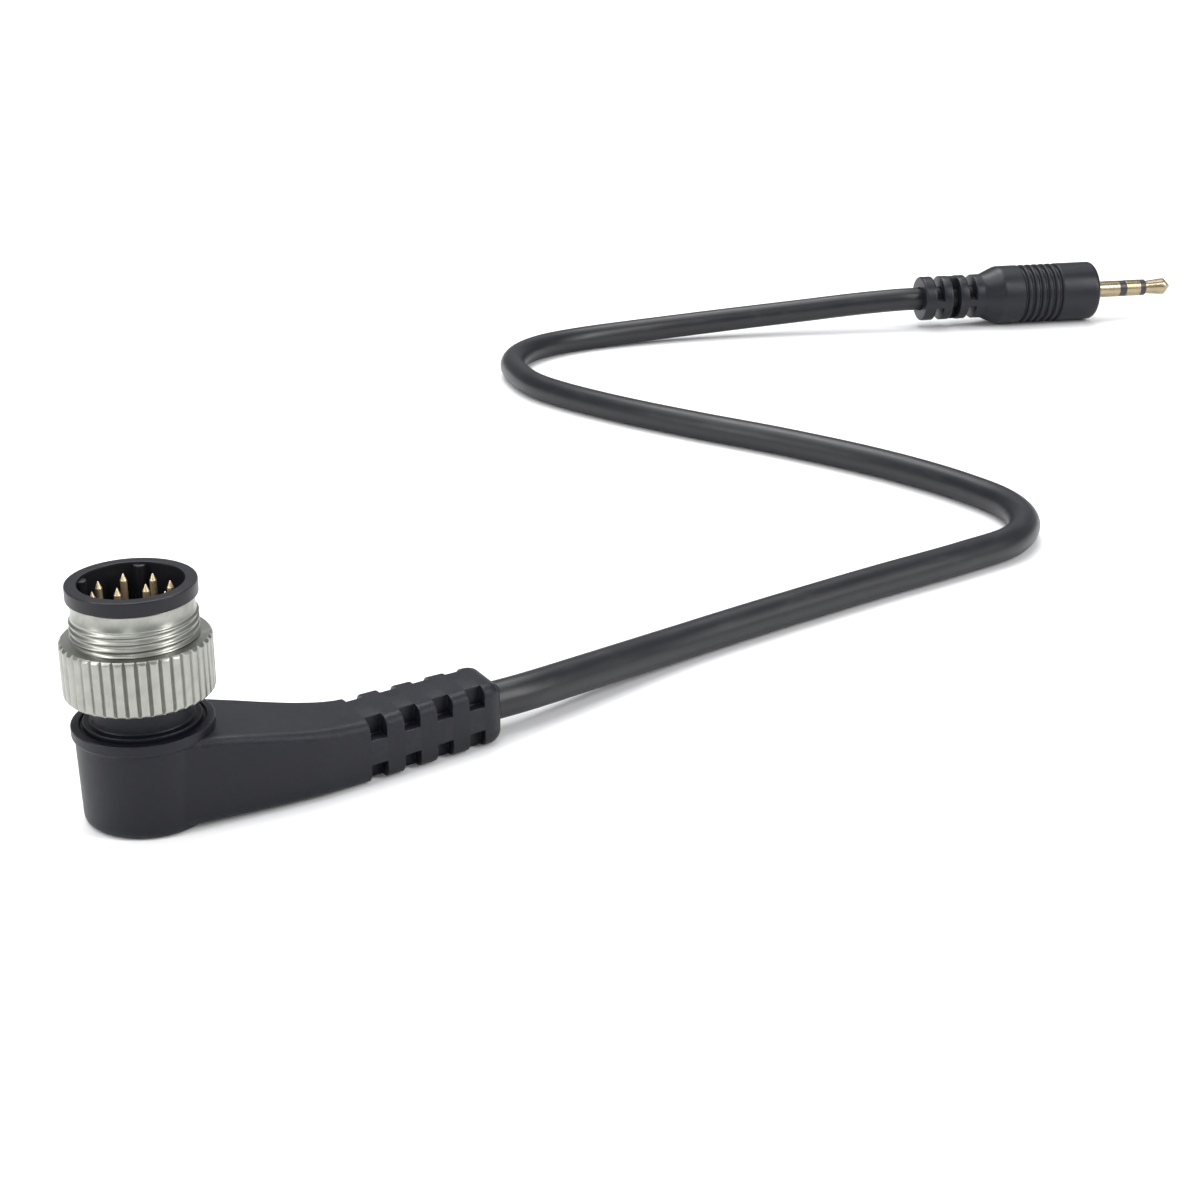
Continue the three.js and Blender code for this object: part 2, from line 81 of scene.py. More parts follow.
def eased_line(route, per_span):
    """Centripetal Catmull-Rom line: knots spaced by the root of the chord, then cubics between them."""
    p = np.asarray(route, float)
    p = np.vstack([2 * p[0] - p[1], p, 2 * p[-1] - p[-2]])
    a, b, c, d = p[:-3], p[1:-2], p[2:-1], p[3:]
    gap = lambda u, v: np.sqrt(np.linalg.norm(v - u, axis=1))[:, None]
    t0, t1, t2 = gap(a, b), gap(b, c), gap(c, d)
    out = ((b - a) / t0 - (c - a) / (t0 + t1) + (c - b) / t1) * t1
    back = ((c - b) / t1 - (d - b) / (t1 + t2) + (d - c) / t2) * t1
    s = np.linspace(0, 1, per_span, endpoint=False)[None, :, None]
    b, c, out, back = (v[:, None, :] for v in (b, c, out, back))
    spans = (
        (2 * s**3 - 3 * s**2 + 1) * b + (s**3 - 2 * s**2 + s) * out
        + (3 * s**2 - 2 * s**3) * c + (s**3 - s**2) * back
    )
    return np.vstack([spans.reshape(-1, 3), p[-2]])


def skin(name, rings):
    """A closed mesh through a stack of closed rings, in millimetres: four-sided faces between
    neighbouring rings and a fan from each end ring to its middle. Rings run anticlockwise as seen
    from the end of the stack."""
    count, around, _ = rings.shape
    points = np.concatenate([rings.reshape(-1, 3), rings[:1].mean(axis=1), rings[-1:].mean(axis=1)])
    k = np.arange(around)
    step = (k + 1) % around
    row = np.arange(count - 1)[:, None] * around
    quads = np.stack([row + k, row + step, row + around + step, row + around + k], axis=-1)
    foot = np.stack([np.full(around, count * around), step, k], axis=-1)
    top = (count - 1) * around
    head = np.stack([np.full(around, count * around + 1), top + k, top + step], axis=-1)
    mesh = bpy.data.meshes.new(name)
    mesh.from_pydata(
        (points * MM).tolist(), [], quads.reshape(-1, 4).tolist() + foot.tolist() + head.tolist()
    )
    mesh.update()
    return place(name, mesh)


def place(name, mesh):
    """The mesh as an object at the origin, smooth except where two faces meet at over 40 degrees."""
    mesh.polygons.foreach_set("use_smooth", np.ones(len(mesh.polygons), bool))
    mesh.set_sharp_from_angle(angle=np.radians(40))
    piece = bpy.data.objects.new(name, mesh)
    bpy.context.scene.collection.objects.link(piece)
    return piece


def mark_edges(piece, reach):
    """Attribute "edge", 0 on flats and hollows to 1 on sharp outer edges: the mean over a point's
    neighbours of how far they fall below its tangent plane, over their distance, times reach."""
    mesh = piece.data
    points = np.empty(len(mesh.vertices) * 3)
    normals = np.empty(len(mesh.vertices) * 3)
    ends = np.empty(len(mesh.edges) * 2, int)
    mesh.vertices.foreach_get("co", points)
    mesh.vertices.foreach_get("normal", normals)
    mesh.edges.foreach_get("vertices", ends)
    points, normals, ends = points.reshape(-1, 3), normals.reshape(-1, 3), ends.reshape(-1, 2)
    both = np.vstack([ends, ends[:, ::-1]])
    away = points[both[:, 1]] - points[both[:, 0]]
    fall = -(away * normals[both[:, 0]]).sum(axis=1) / np.maximum(np.linalg.norm(away, axis=1), 1e-9)
    total = np.bincount(both[:, 0], fall, len(points))
    share = np.maximum(np.bincount(both[:, 0], minlength=len(points)), 1)
    edge = mesh.attributes.new("edge", "FLOAT", "POINT")
    edge.data.foreach_set("value", np.clip(reach * total / share, 0, 1).astype(np.float32))
    return piece


def tube(centre, radius, sides):
    """Rings of a round tube along a line: the level normal of the line's heading and the normal
    above it span each ring, so it never twists on a line that stays near level."""
    ahead = np.gradient(centre, axis=0)
    ahead /= np.linalg.norm(ahead, axis=1)[:, None]
    level = np.cross([0.0, 0.0, 1.0], ahead)
    level /= np.linalg.norm(level, axis=1)[:, None]
    above = np.cross(ahead, level)
    turn = np.linspace(0, 2 * np.pi, sides, endpoint=False)[None, :, None]
    spread = np.cos(turn) * level[:, None] + np.sin(turn) * above[:, None]
    return centre[:, None] + radius * spread


def wrap_map(piece, across, along):
    """A map for a tube of rings: metres round it across, metres along it up, face by face."""
    mesh = piece.data
    corners = np.empty(len(mesh.loops), int)
    mesh.loops.foreach_get("vertex_index", corners)
    count, around = len(along), len(across) - 1
    ring, place_on = np.divmod(corners, around)
    flat = np.minimum(ring, count - 1)
    u = across[np.where(ring < count, place_on, 0)]
    quads = (count - 1) * around * 4
    seam = np.zeros(len(corners), bool)
    face = np.arange(quads) // 4 % around == around - 1
    seam[:quads] = face & (place_on[:quads] == 0)
    u = np.where(seam, across[-1], u)
    mesh.uv_layers.new(name="wrap").data.foreach_set(
        "uv", np.column_stack([u, along[flat]]).ravel().astype(np.float32)
    )


cable_line = eased_line(ROUTE, 12)
walked = np.concatenate([[0], np.cumsum(np.linalg.norm(np.diff(cable_line, axis=0), axis=1))])
CABLE_SIDES = 40
cable = skin("cable", tube(cable_line, CABLE_R, CABLE_SIDES))
wrap_map(cable, np.linspace(0, 2 * np.pi * CABLE_R * MM, CABLE_SIDES + 1), walked * MM)


def new_material(name, metallic, roughness, **sockets):
    """A material with one Principled shader whose even values sit on its own sockets."""
    material = bpy.data.materials.new(name)
    material.use_nodes = True
    shader = material.node_tree.nodes["Principled BSDF"]
    shader.inputs["Metallic"].default_value = metallic
    shader.inputs["Roughness"].default_value = roughness
    for socket, value in sockets.items():
        shader.inputs[socket.replace("_", " ")].default_value = value
    return material, material.node_tree, shader


def node(tree, kind, values=None, **settings):
    """A node of that kind, with its settings, and values put on its input sockets by name or number."""
    made = tree.nodes.new(kind)
    for name, value in settings.items():
        setattr(made, name, value)
    for socket, value in (values or {}).items():
        if isinstance(value, bpy.types.NodeSocket):
            tree.links.new(value, made.inputs[socket])
        else:
            made.inputs[socket].default_value = value
    return made


def maths(tree, operation, first, second=0.0, third=0.0, clamp=False):
    """One Math node's result."""
    values = {0: first, 1: second, 2: third}
    return node(tree, "ShaderNodeMath", values, operation=operation, use_clamp=clamp).outputs[0]


def noise(tree, place_in, scale, detail=2.0, roughness=0.5):
    """Noise between 0 and 1 at so many features to the metre."""
    values = {"Vector": place_in, "Scale": scale, "Detail": detail, "Roughness": roughness}
    return node(tree, "ShaderNodeTexNoise", values).outputs["Fac"]


def blend_colour(tree, share, first, second):
    """The first colour where share is 0 and the second where it is 1."""
    mix = node(tree, "ShaderNodeMix", data_type="RGBA")
    for socket, value in ((0, share), (6, first), (7, second)):
        if isinstance(value, bpy.types.NodeSocket):
            tree.links.new(value, mix.inputs[socket])
        else:
            mix.inputs[socket].default_value = value
    return mix.outputs[2]


def new_group(name, inputs, outputs):
    """A shader node group with named sockets, and its two end nodes."""
    tree = bpy.data.node_groups.new(name, "ShaderNodeTree")
    for label, kind, value in inputs:
        socket = tree.interface.new_socket(label, in_out="INPUT", socket_type="NodeSocket" + kind)
        if value is not None:
            socket.default_value = value
    for label, kind in outputs:
        tree.interface.new_socket(label, in_out="OUTPUT", socket_type="NodeSocket" + kind)
    return tree, tree.nodes.new("NodeGroupInput").outputs, tree.nodes.new("NodeGroupOutput").inputs


# Moulded surface: fine spark grain from the tool, slow random drift of tone, and pale edges that are partly
# rubbed wear and partly a painted highlight along them.
moulded_skin, given, result = new_group(
    "moulded_skin",
    [
        ("Vector", "Vector", None), ("Tint", "Color", None), ("Rub And Highlight Tint", "Color", None),
        ("Edge", "Float", 0.0), ("Sheen", "Float", 0.5), ("Grain", "Float", 9000.0),
    ],
    [("Color", "Color"), ("Roughness", "Float"), ("Height", "Float")],
)
drift = noise(moulded_skin, given["Vector"], 260.0, 3.0)
grain = noise(moulded_skin, given["Vector"], 9000.0, 3.0, 0.6)
moulded_skin.links.new(given["Grain"], grain.node.inputs["Scale"])
patch_noise = noise(moulded_skin, given["Vector"], 1500.0, 4.0, 0.65)
darker = blend_colour(moulded_skin, 1.0, given["Tint"], (0.8, 0.8, 0.82, 1))
darker.node.blend_type = "MULTIPLY"
toned = blend_colour(moulded_skin, drift, darker, given["Tint"])
# Pale edges: patchy rubbed wear that also serves as a painted highlight along the outer edges.
patchiness = maths(moulded_skin, "MULTIPLY", maths(moulded_skin, "SUBTRACT", patch_noise, 0.36, clamp=True), 3.2)
rub_and_highlight_mask = maths(moulded_skin, "MULTIPLY", patchiness, given["Edge"], clamp=True)
moulded_skin.links.new(blend_colour(moulded_skin, rub_and_highlight_mask, toned, given["Rub And Highlight Tint"]), result["Color"])
even = maths(moulded_skin, "MULTIPLY_ADD", drift, 0.16, maths(moulded_skin, "SUBTRACT", given["Sheen"], 0.08))
uneven = maths(moulded_skin, "MULTIPLY_ADD", grain, 0.14, maths(moulded_skin, "SUBTRACT", even, 0.07))
smoother = maths(moulded_skin, "MULTIPLY_ADD", given["Edge"], -0.1, uneven)
moulded_skin.links.new(smoother, result["Roughness"])
moulded_skin.links.new(grain, result["Height"])


def moulded(name, tint, rub_and_highlight_tint, sheen, grain_scale, grain_depth, **sockets):
    """Black moulded plastic: the skin above for colour, roughness and a shallow grain."""
    material, tree, shader = new_material(name, 0.0, sheen, **sockets)
    group = node(tree, "ShaderNodeGroup", {
        "Vector": node(tree, "ShaderNodeTexCoord").outputs["Object"],
        "Edge": node(tree, "ShaderNodeAttribute", attribute_name="edge").outputs["Fac"],
        "Tint": (*tint, 1), "Rub And Highlight Tint": (*rub_and_highlight_tint, 1), "Sheen": sheen, "Grain": grain_scale,
    }, node_tree=moulded_skin).outputs
    tree.links.new(group["Color"], shader.inputs["Base Color"])
    tree.links.new(group["Roughness"], shader.inputs["Roughness"])
    bump = node(tree, "ShaderNodeBump", {"Height": group["Height"], "Strength": 0.6, "Distance": grain_depth})
    tree.links.new(bump.outputs[0], shader.inputs["Normal"])
    return material


# Vinyl jacket: drawn lines along the lead, slight swell from the strands, faint handling marks.
jacket, jacket_tree, jacket_shader = new_material("vinyl_jacket", 0.0, 0.27, Specular_IOR_Level=0.42)
wrap = node(jacket_tree, "ShaderNodeUVMap", uv_map="wrap").outputs[0]
drawn = node(jacket_tree, "ShaderNodeMapping", {"Vector": wrap, "Scale": (1.0, 0.02, 1.0)}).outputs[0]
lines = noise(jacket_tree, drawn, 5000.0, 2.0)
swell = noise(jacket_tree, node(jacket_tree, "ShaderNodeMapping", {
    "Vector": wrap, "Scale": (0.35, 1.0, 1.0)}).outputs[0], 160.0, 1.0)
marks = noise(jacket_tree, node(jacket_tree, "ShaderNodeMapping", {
    "Vector": wrap, "Scale": (1.0, 0.25, 1.0)}).outputs[0], 900.0, 4.0, 0.6)
shade = blend_colour(jacket_tree, swell, (0.0045, 0.0049, 0.0072, 1), (0.0078, 0.0083, 0.0115, 1))
dusted = maths(jacket_tree, "MULTIPLY", maths(jacket_tree, "SUBTRACT", marks, 0.55, clamp=True), 1.6)
jacket_tree.links.new(
    blend_colour(jacket_tree, dusted, shade, (0.035, 0.036, 0.04, 1)), jacket_shader.inputs["Base Color"]
)
jacket_tree.links.new(
    maths(jacket_tree, "MULTIPLY_ADD", marks, 0.22, 0.26), jacket_shader.inputs["Roughness"]
)
height = maths(jacket_tree, "MULTIPLY_ADD", lines, 0.25, swell)
ripple = node(jacket_tree, "ShaderNodeBump", {"Height": height, "Strength": 0.5, "Distance": 0.00006})
jacket_tree.links.new(ripple.outputs[0], jacket_shader.inputs["Normal"])
cable.data.materials.append(jacket)
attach(cable, "root")
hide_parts("cable_jacket")

# ---- Plug housing ----
# One black moulding: a round pot with a flanged mouth, a flat-sided arm that leaves it turned a
# little aside, and a square strain relief with four rows of notches that curves back.
# The pale edge tint is partly rubbed wear and partly a painted highlight along the moulding's outer edges.
BLACK, PALE_RUB_AND_HIGHLIGHT = (0.0056, 0.0061, 0.0108), (0.034, 0.0365, 0.046)
FOOT_R, HEAD_R, FOOT_EDGE = 5.2, 5.35, 0.75
FLANGE_BOTTOM, FLANGE_TOP, FLANGE_R, LIP_R = 7.25, 8.25, 5.6, 4.95
GROOVE_Z = 8.05
RELIEF_HALF = 2.75
NOTCH_FIRST, NOTCH_PITCH, NOTCH_WIDTH, NOTCH_COUNT = 17.25, 3.2, 1.55, 4
WEB_HALF, CORE_HALF = 1.08, 1.85
ARM = np.array([  # along, middle of the width, half width, top, bottom, corner radius
    [1.0, -0.1, 4.98, 7.75, 0.35, 0.6], [5.0, -0.55, 4.65, 7.35, 0.3, 0.7],
    [8.0, -0.92, 4.35, 6.85, 0.26, 0.75], [11.0, -1.27, 3.97, 6.3, 0.22, 0.8],
    [13.5, -1.52, 3.62, 5.92, 0.17, 0.85], [15.5, -1.57, 3.32, 5.7, 0.12, 0.9],
    [17.0, -1.5, 3.2, 5.6, 0.1, 0.9], [20.0, -1.2, 3.13, 5.6, 0.1, 0.9],
    [23.0, -0.88, 3.03, 5.6, 0.1, 0.9], [26.2, -0.55, 2.92, 5.6, 0.1, 0.9],
    [29.4, -0.27, 2.8, 5.6, 0.1, 0.9], [RELIEF_END, -0.18, 2.8, 5.6, 0.1, 0.9],
])
ROUNDING_START, ROUNDING_INSET = 28.9, 0.9
MOUTH_ASIDE, MOUTH_SLOPE = -0.18, 0.105  # the cable's middle at the relief's end, and its drift


def eased(corners, steps=6):
    """A profile from [radius, height, easing] corners: each corner is swapped for a short curve
    that leaves and meets its sides one easing away, with a spare point just outside it."""
    p = np.array(corners, float)
    pts, cut = p[:, :2], p[:, 2]
    line = [pts[:1]]
    for before, here, after, ease in zip(pts[:-2], pts[1:-1], pts[2:], cut[1:-1]):
        back, ahead = before - here, after - here
        far_back, far_ahead = np.linalg.norm(back), np.linalg.norm(ahead)
        ease = min(ease, 0.38 * far_back, 0.38 * far_ahead)
        start, end = here + back / far_back * ease, here + ahead / far_ahead * ease
        s = np.linspace(0, 1, steps + 1)[:, None]
        curve = (1 - s) ** 2 * start + 2 * s * (1 - s) * here + s**2 * end
        line += [start + (start - here) * 0.3, curve, end + (end - here) * 0.3]
    return np.vstack([row.reshape(-1, 2) for row in line] + [pts[-1:]])


def turned(name, profile, segments=160):
    """A turned piece about Z: a profile of radius and height carried once round the axis."""
    turn = np.linspace(0, 2 * np.pi, segments, endpoint=False)
    radius, height = np.asarray(profile, float).T
    rings = np.stack([
        radius[:, None] * np.cos(turn), radius[:, None] * np.sin(turn),
        np.repeat(height[:, None], segments, axis=1),
    ], axis=-1)
    return skin(name, rings)


def glide(x, knots, values):
    """A smooth line through the knots that never overshoots: cubics whose slope at a knot is the
    harmonic mean of its two neighbours' slopes, and level where they differ in sign."""
    secant = np.diff(values) / np.diff(knots)
    left, right = secant[:-1], secant[1:]
    same = left * right > 0
    middle = np.where(same, 2 * left * right / np.where(same, left + right, 1), 0)
    slope = np.concatenate([secant[:1], middle, secant[-1:]])
    i = np.clip(np.searchsorted(knots, x, side="right") - 1, 0, len(knots) - 2)
    span = knots[i + 1] - knots[i]
    s = (x - knots[i]) / span
    return (
        (2 * s**3 - 3 * s**2 + 1) * values[i] + (s**3 - 2 * s**2 + s) * span * slope[i]
        + (3 * s**2 - 2 * s**3) * values[i + 1] + (s**3 - s**2) * span * slope[i + 1]
    )


def paced(points, count):
    """The same open line with that many points, evenly spaced along it."""
    points = np.asarray(points, float)
    far = np.concatenate([[0], np.cumsum(np.linalg.norm(np.diff(points, axis=0), axis=1))])
    at = np.linspace(0, far[-1], count)
    return np.column_stack([np.interp(at, far, points[:, k]) for k in (0, 1)])


def quarter_arc(centre, radius, start, end, count=9):
    turn = np.radians(np.linspace(start, end, count))[:, None]
    return np.asarray(centre) + radius * np.hstack([np.cos(turn), np.sin(turn)])


def section_quarter(half, tall, radius, depth):
    """One corner of the arm's section, from its side at the web's height to its top over the core.
    depth 0 is the full rounded corner and 1 is the notch: in along the web and up the core."""
    e = 0.09
    corner = quarter_arc((half - radius, tall - radius), radius, 0, 90, 17)
    full = [
        paced([(half, WEB_HALF - e), (half, WEB_HALF + e)], 5),
        paced(np.vstack([[(half, WEB_HALF + e)], corner[:9]]), 12),
        paced(np.vstack([corner[8:], [(CORE_HALF + e, tall)]]), 12),
        paced([(CORE_HALF + e, tall), (CORE_HALF - e, tall)], 5),
    ]
    inner = quarter_arc((CORE_HALF + e, WEB_HALF + e), e, 270, 180, 7)
    notch = [
        quarter_arc((half - e, WEB_HALF - e), e, 0, 90, 5),
        paced([(half - e, WEB_HALF), (CORE_HALF + 1.6 * e, WEB_HALF)], 12),
        paced(np.vstack([inner, [(CORE_HALF, tall - e)]]), 12),
        quarter_arc((CORE_HALF - e, tall - e), e, 0, 90, 5),
    ]
    full, notch = (np.vstack([piece[:-1] for piece in way] + [way[-1][-1:]]) for way in (full, notch))
    return full + depth * (notch - full)


def arm_ring(x, aside, half, middle, tall, radius, depth):
    """The whole section: the corner, then its three mirror images, all at one place on the arm."""
    q = section_quarter(half, tall, radius, depth)
    mirrored = q[::-1] * (-1, 1)
    ring = np.vstack([q, mirrored, -q, -mirrored])
    return np.column_stack([np.full(len(ring), x), aside + ring[:, 0], middle + ring[:, 1]])


def arm_rings():
    """Sections every quarter millimetre, with the walls of each notch as two sections at one place
    and its lips eased over a tenth of a millimetre, then the rounded end and the cable's hole."""
    stations = [(x, 0.0) for x in np.arange(1.0, 17.2, 0.25)]
    lip = [(0.10, 0.0), (0.05, 0.008), (0.015, 0.028), (0.0, 0.06), (0.0, 0.94), (-0.015, 0.975),
           (-0.05, 0.993), (-0.10, 1.0)]
    for row in range(NOTCH_COUNT):
        start = NOTCH_FIRST + row * NOTCH_PITCH
        end = start + NOTCH_WIDTH
        stations += [(start - out, depth) for out, depth in lip]
        stations += [(x, 1.0) for x in np.linspace(start + 0.3, end - 0.3, 4)]
        stations += [(end + out, depth) for out, depth in lip[::-1]]
        stations += [(x, 0.0) for x in np.linspace(end + 0.25, start + NOTCH_PITCH - 0.25, 5)]
    stations = [s for s in stations if s[0] < ROUNDING_START - 0.05]
    rings = []
    for x, depth in stations:
        here = (glide(np.array([x]), ARM[:, 0], column)[0] for column in ARM[:, 1:].T)
        aside, half, top, bottom, radius = here
        rings.append(arm_ring(x, aside, half, (top + bottom) / 2, (top - bottom) / 2, radius, depth))
    for turn in np.radians(np.linspace(0, 90, 9)):  # the end rounds off
        inset = ROUNDING_INSET * (1 - np.cos(turn))
        size = RELIEF_HALF - inset
        x = ROUNDING_START + (RELIEF_END - ROUNDING_START) * np.sin(turn)
        aside = glide(np.array([x]), ARM[:, 0], ARM[:, 1])[0]
        rings.append(arm_ring(x, aside, 2.8 - inset, ARM_Z, size, max(0.9 - 0.5 * inset, 0.3), 0))
    last = rings[-1][:, 1:] - (aside, ARM_Z)
    aim = last / np.linalg.norm(last, axis=1)[:, None]
    for x, radius in ((RELIEF_END, 1.86), (30.27, 1.79), (30.2, 1.76), (29.5, 1.76), (28.0, 1.76)):
        aside = MOUTH_ASIDE + MOUTH_SLOPE * (x - RELIEF_END)
        rings.append(np.column_stack([np.full(len(aim), x), radius * aim + (aside, ARM_Z)]))
    return np.array(rings)


def joined(name, first, second):
    """One mesh from two closed ones that overlap; both starting pieces are removed."""
    union = first.modifiers.new("join", "BOOLEAN")
    union.operation, union.solver, union.object = "UNION", "EXACT", second
    bpy.context.view_layer.update()
    whole = bpy.data.meshes.new_from_object(first.evaluated_get(bpy.context.evaluated_depsgraph_get()))
    for piece in (first, second):
        bpy.data.meshes.remove(piece.data)
    whole.name = name
    return place(name, whole)


pot = turned("pot", eased([
    [3.0, 0, 0], [FOOT_R, 0, FOOT_EDGE], [HEAD_R, FLANGE_BOTTOM - 0.05, 0.12],
    [FLANGE_R, FLANGE_BOTTOM + 0.12, 0.12], [FLANGE_R, FLANGE_TOP, 0.16],
    [LIP_R, FLANGE_TOP, 0.06], [LIP_R - 0.08, GROOVE_Z, 0.04], [3.0, GROOVE_Z, 0],
]))
housing = joined("moulded_housing", pot, skin("arm", arm_rings()))
mark_edges(housing, 3.0)
plug_black = moulded("plug_black", BLACK, PALE_RUB_AND_HIGHLIGHT, 0.42, 8000.0, 0.00005, Specular_IOR_Level=0.26)
housing.data.materials.append(plug_black)
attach(housing, "root")
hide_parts("angle_housing")

# ---- Neck ----
# Black moulded collar that stands out of the pot on a stepped foot.
# The coupling ring slides and turns on it, and its mouth holds the insulating cup.
neck = turned("neck", eased([
    [3.5, 6.7, 0], [4.2, 6.7, 0.05], [4.2, 8.0, 0.02], [4.65, 8.0, 0.02], [4.65, 8.5, 0.14],
    [4.15, 8.53, 0.04], [4.07, 8.64, 0.05], [4.07, 12.4, 0.08], [3.5, 12.4, 0],
]))
mark_edges(neck, 3.0)
neck.data.materials.append(plug_black)
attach(neck, "root")
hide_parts("neck_collar")

# ---- Insulating cup ----
# Thin-walled black cup inside the metal nose, with a thicker rim and three half-round ribs down
# its bore that let the plug go in one way only.
CUP_INNER, CUP_WALL, CUP_FOOT = 4.08, 4.3, 12.5
RIM_BOTTOM, RIM_TOP, RIM_R = 18.65, 19.8, 5.06
RIB_R, RIB_TOP, RIB_TURNS = 0.53, 19.6, np.radians([144.0, 63.0, -121.0])
cup_outside = eased([
    [CUP_WALL - 0.1, CUP_FOOT, 0], [CUP_WALL, CUP_FOOT, 0.04], [CUP_WALL, RIM_BOTTOM, 0.04],
    [RIM_R, RIM_BOTTOM, 0.07], [RIM_R, RIM_TOP, 0.14], [CUP_INNER + 0.02, RIM_TOP, 0.12],
    [CUP_INNER, RIB_TOP + 0.02, 0.02], [CUP_INNER, RIB_TOP, 0],
])
cup_bore = [[RIB_TOP, 0.93], [RIB_TOP - 0.01, 0.97], [RIB_TOP - 0.05, 1.0]]
cup_bore += [[z, 1.0] for z in np.linspace(RIB_TOP - 0.2, 14.9, 12)] + [[14.9, 0.0], [CUP_FOOT + 0.4, 0.0]]


def cup_turns():
    """Places round the cup: even steps, with close ones where each rib leaves the bore."""
    reach = np.arcsin(RIB_R / CUP_INNER)
    fine = reach * np.sin(np.linspace(-np.pi / 2, np.pi / 2, 25))
    ribs = (RIB_TURNS[:, None] + np.concatenate([[-1.15 * reach], fine, [1.15 * reach]])).ravel()
    even = np.linspace(-np.pi, np.pi, 120, endpoint=False)
    gap = np.abs((even[:, None] - RIB_TURNS + np.pi) % (2 * np.pi) - np.pi).min(axis=1)
    turn = np.concatenate([even[gap > 1.3 * reach], ribs])
    return np.sort((turn + np.pi) % (2 * np.pi) - np.pi)


cup_turn = cup_turns()
off_rib = np.abs((cup_turn[:, None] - RIB_TURNS + np.pi) % (2 * np.pi) - np.pi).min(axis=1)
chord = RIB_R**2 - (CUP_INNER * np.sin(off_rib)) ** 2
on_rib = (chord > 1e-6) & (off_rib < 1)
rib_face = np.where(on_rib, CUP_INNER * np.cos(off_rib) - np.sqrt(np.maximum(chord, 0)), CUP_INNER)
cup_rows = [np.full(len(cup_turn), r) for r in cup_outside[:, 0]]
cup_rows += [CUP_INNER + share * (rib_face - CUP_INNER) for _, share in cup_bore]
cup_heights = np.concatenate([cup_outside[:, 1], [z for z, _ in cup_bore]])
cup_radius = np.array(cup_rows)
cup = skin("insulating_cup", np.stack([
    cup_radius * np.cos(cup_turn), cup_radius * np.sin(cup_turn),
    np.repeat(cup_heights[:, None], len(cup_turn), axis=1),
], axis=-1))
mark_edges(cup, 3.0)
cup.data.materials.append(moulded(
    "cup_black", (0.0065, 0.0068, 0.0100), PALE_RUB_AND_HIGHLIGHT, 0.40, 11000.0, 0.000015, Specular_IOR_Level=0.3,
))
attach(cup, "root")
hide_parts("insulator_cup")

# ---- Contact carrier ----
# Flat black disc across the bottom of the cup, moulded round the contacts.
# It is dull and a little dusty, since nothing ever touches it.
carrier_black = moulded("carrier_black", (0.008, 0.008, 0.010), (0.02, 0.02, 0.024), 0.6, 7000.0, 0.00002)
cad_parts["contact_carrier"].material_slots[0].material = carrier_black

# ---- Contacts ----
# Ten turned pins with pointed tips, gold over nickel: eight in a ring and two inside it.
# They stop half a millimetre below the rim that guards them.
PIN_R, PIN_FOOT, PIN_SHOULDER, PIN_TIP = 0.28, 11.3, 18.75, 19.3
PIN_RING, PIN_PAIR, PIN_TURN = 3.0, 1.1, 174.6

# Turned metal: fine rings left by the tool, stains that dull it, and bright worn edges.
turned_skin, given, result = new_group(
    "turned_skin",
    [
        ("Vector", "Vector", None), ("Tint", "Color", None), ("Stain", "Color", None),
        ("Edge", "Float", 0.0), ("Polish", "Float", 0.3), ("Lines", "Float", 12000.0),
        ("Stain Size", "Float", 900.0),
    ],
    [("Color", "Color"), ("Roughness", "Float"), ("Height", "Float")],
)
axes = node(turned_skin, "ShaderNodeSeparateXYZ", {0: given["Vector"]}).outputs
side_square = maths(turned_skin, "MULTIPLY", axes[1], axes[1])
squares = maths(turned_skin, "MULTIPLY_ADD", axes[0], axes[0], side_square)
reach = maths(turned_skin, "SQRT", squares)
profile_place = node(turned_skin, "ShaderNodeCombineXYZ", {0: reach, 1: axes[2]}).outputs[0]
rings = noise(turned_skin, profile_place, 12000.0, 2.0, 0.6)
turned_skin.links.new(given["Lines"], rings.node.inputs["Scale"])
stains = noise(turned_skin, given["Vector"], 900.0, 5.0, 0.6)
turned_skin.links.new(given["Stain Size"], stains.node.inputs["Scale"])
specks = noise(turned_skin, given["Vector"], 6000.0, 2.0)
over = maths(turned_skin, "SUBTRACT", stains, 0.4, clamp=True)
dull = maths(turned_skin, "MULTIPLY", over, 2.6, clamp=True)
kept = maths(turned_skin, "MULTIPLY", dull, maths(turned_skin, "SUBTRACT", 1.0, given["Edge"], clamp=True))
turned_skin.links.new(blend_colour(turned_skin, kept, given["Tint"], given["Stain"]), result["Color"])
mottled = maths(turned_skin, "MULTIPLY_ADD", kept, 0.14, given["Polish"])
streaked = maths(turned_skin, "MULTIPLY_ADD", rings, 0.12, mottled)
turned_skin.links.new(maths(turned_skin, "MULTIPLY_ADD", specks, 0.08, streaked), result["Roughness"])
turned_skin.links.new(maths(turned_skin, "MULTIPLY_ADD", specks, 0.35, rings), result["Height"])


def turned_metal(name, tint, stain, polish, lines, depth, centre=(0, 0, 0), heading=None, stain_size=900.0):
    """Plated turned metal whose axis stands on centre, or lies level from it along heading."""
    material, tree, shader = new_material(name, 1.0, polish)
    seat = node(tree, "ShaderNodeMapping", {
        "Vector": node(tree, "ShaderNodeTexCoord").outputs["Object"],
        "Location": centre, "Rotation": (0.0, 0.0, heading or 0.0),
    }, vector_type="TEXTURE").outputs[0]
    if heading is not None:
        along, side, up = node(tree, "ShaderNodeSeparateXYZ", {0: seat}).outputs
        seat = node(tree, "ShaderNodeCombineXYZ", {0: side, 1: up, 2: along}).outputs[0]
    group = node(tree, "ShaderNodeGroup", {
        "Vector": seat, "Tint": (*tint, 1), "Stain": (*stain, 1), "Polish": polish, "Lines": lines,
        "Stain Size": stain_size,
        "Edge": node(tree, "ShaderNodeAttribute", attribute_name="edge").outputs["Fac"],
    }, node_tree=turned_skin).outputs
    tree.links.new(group["Color"], shader.inputs["Base Color"])
    tree.links.new(group["Roughness"], shader.inputs["Roughness"])
    bump = node(tree, "ShaderNodeBump", {"Height": group["Height"], "Strength": 0.5, "Distance": depth})
    tree.links.new(bump.outputs[0], shader.inputs["Normal"])
    return material


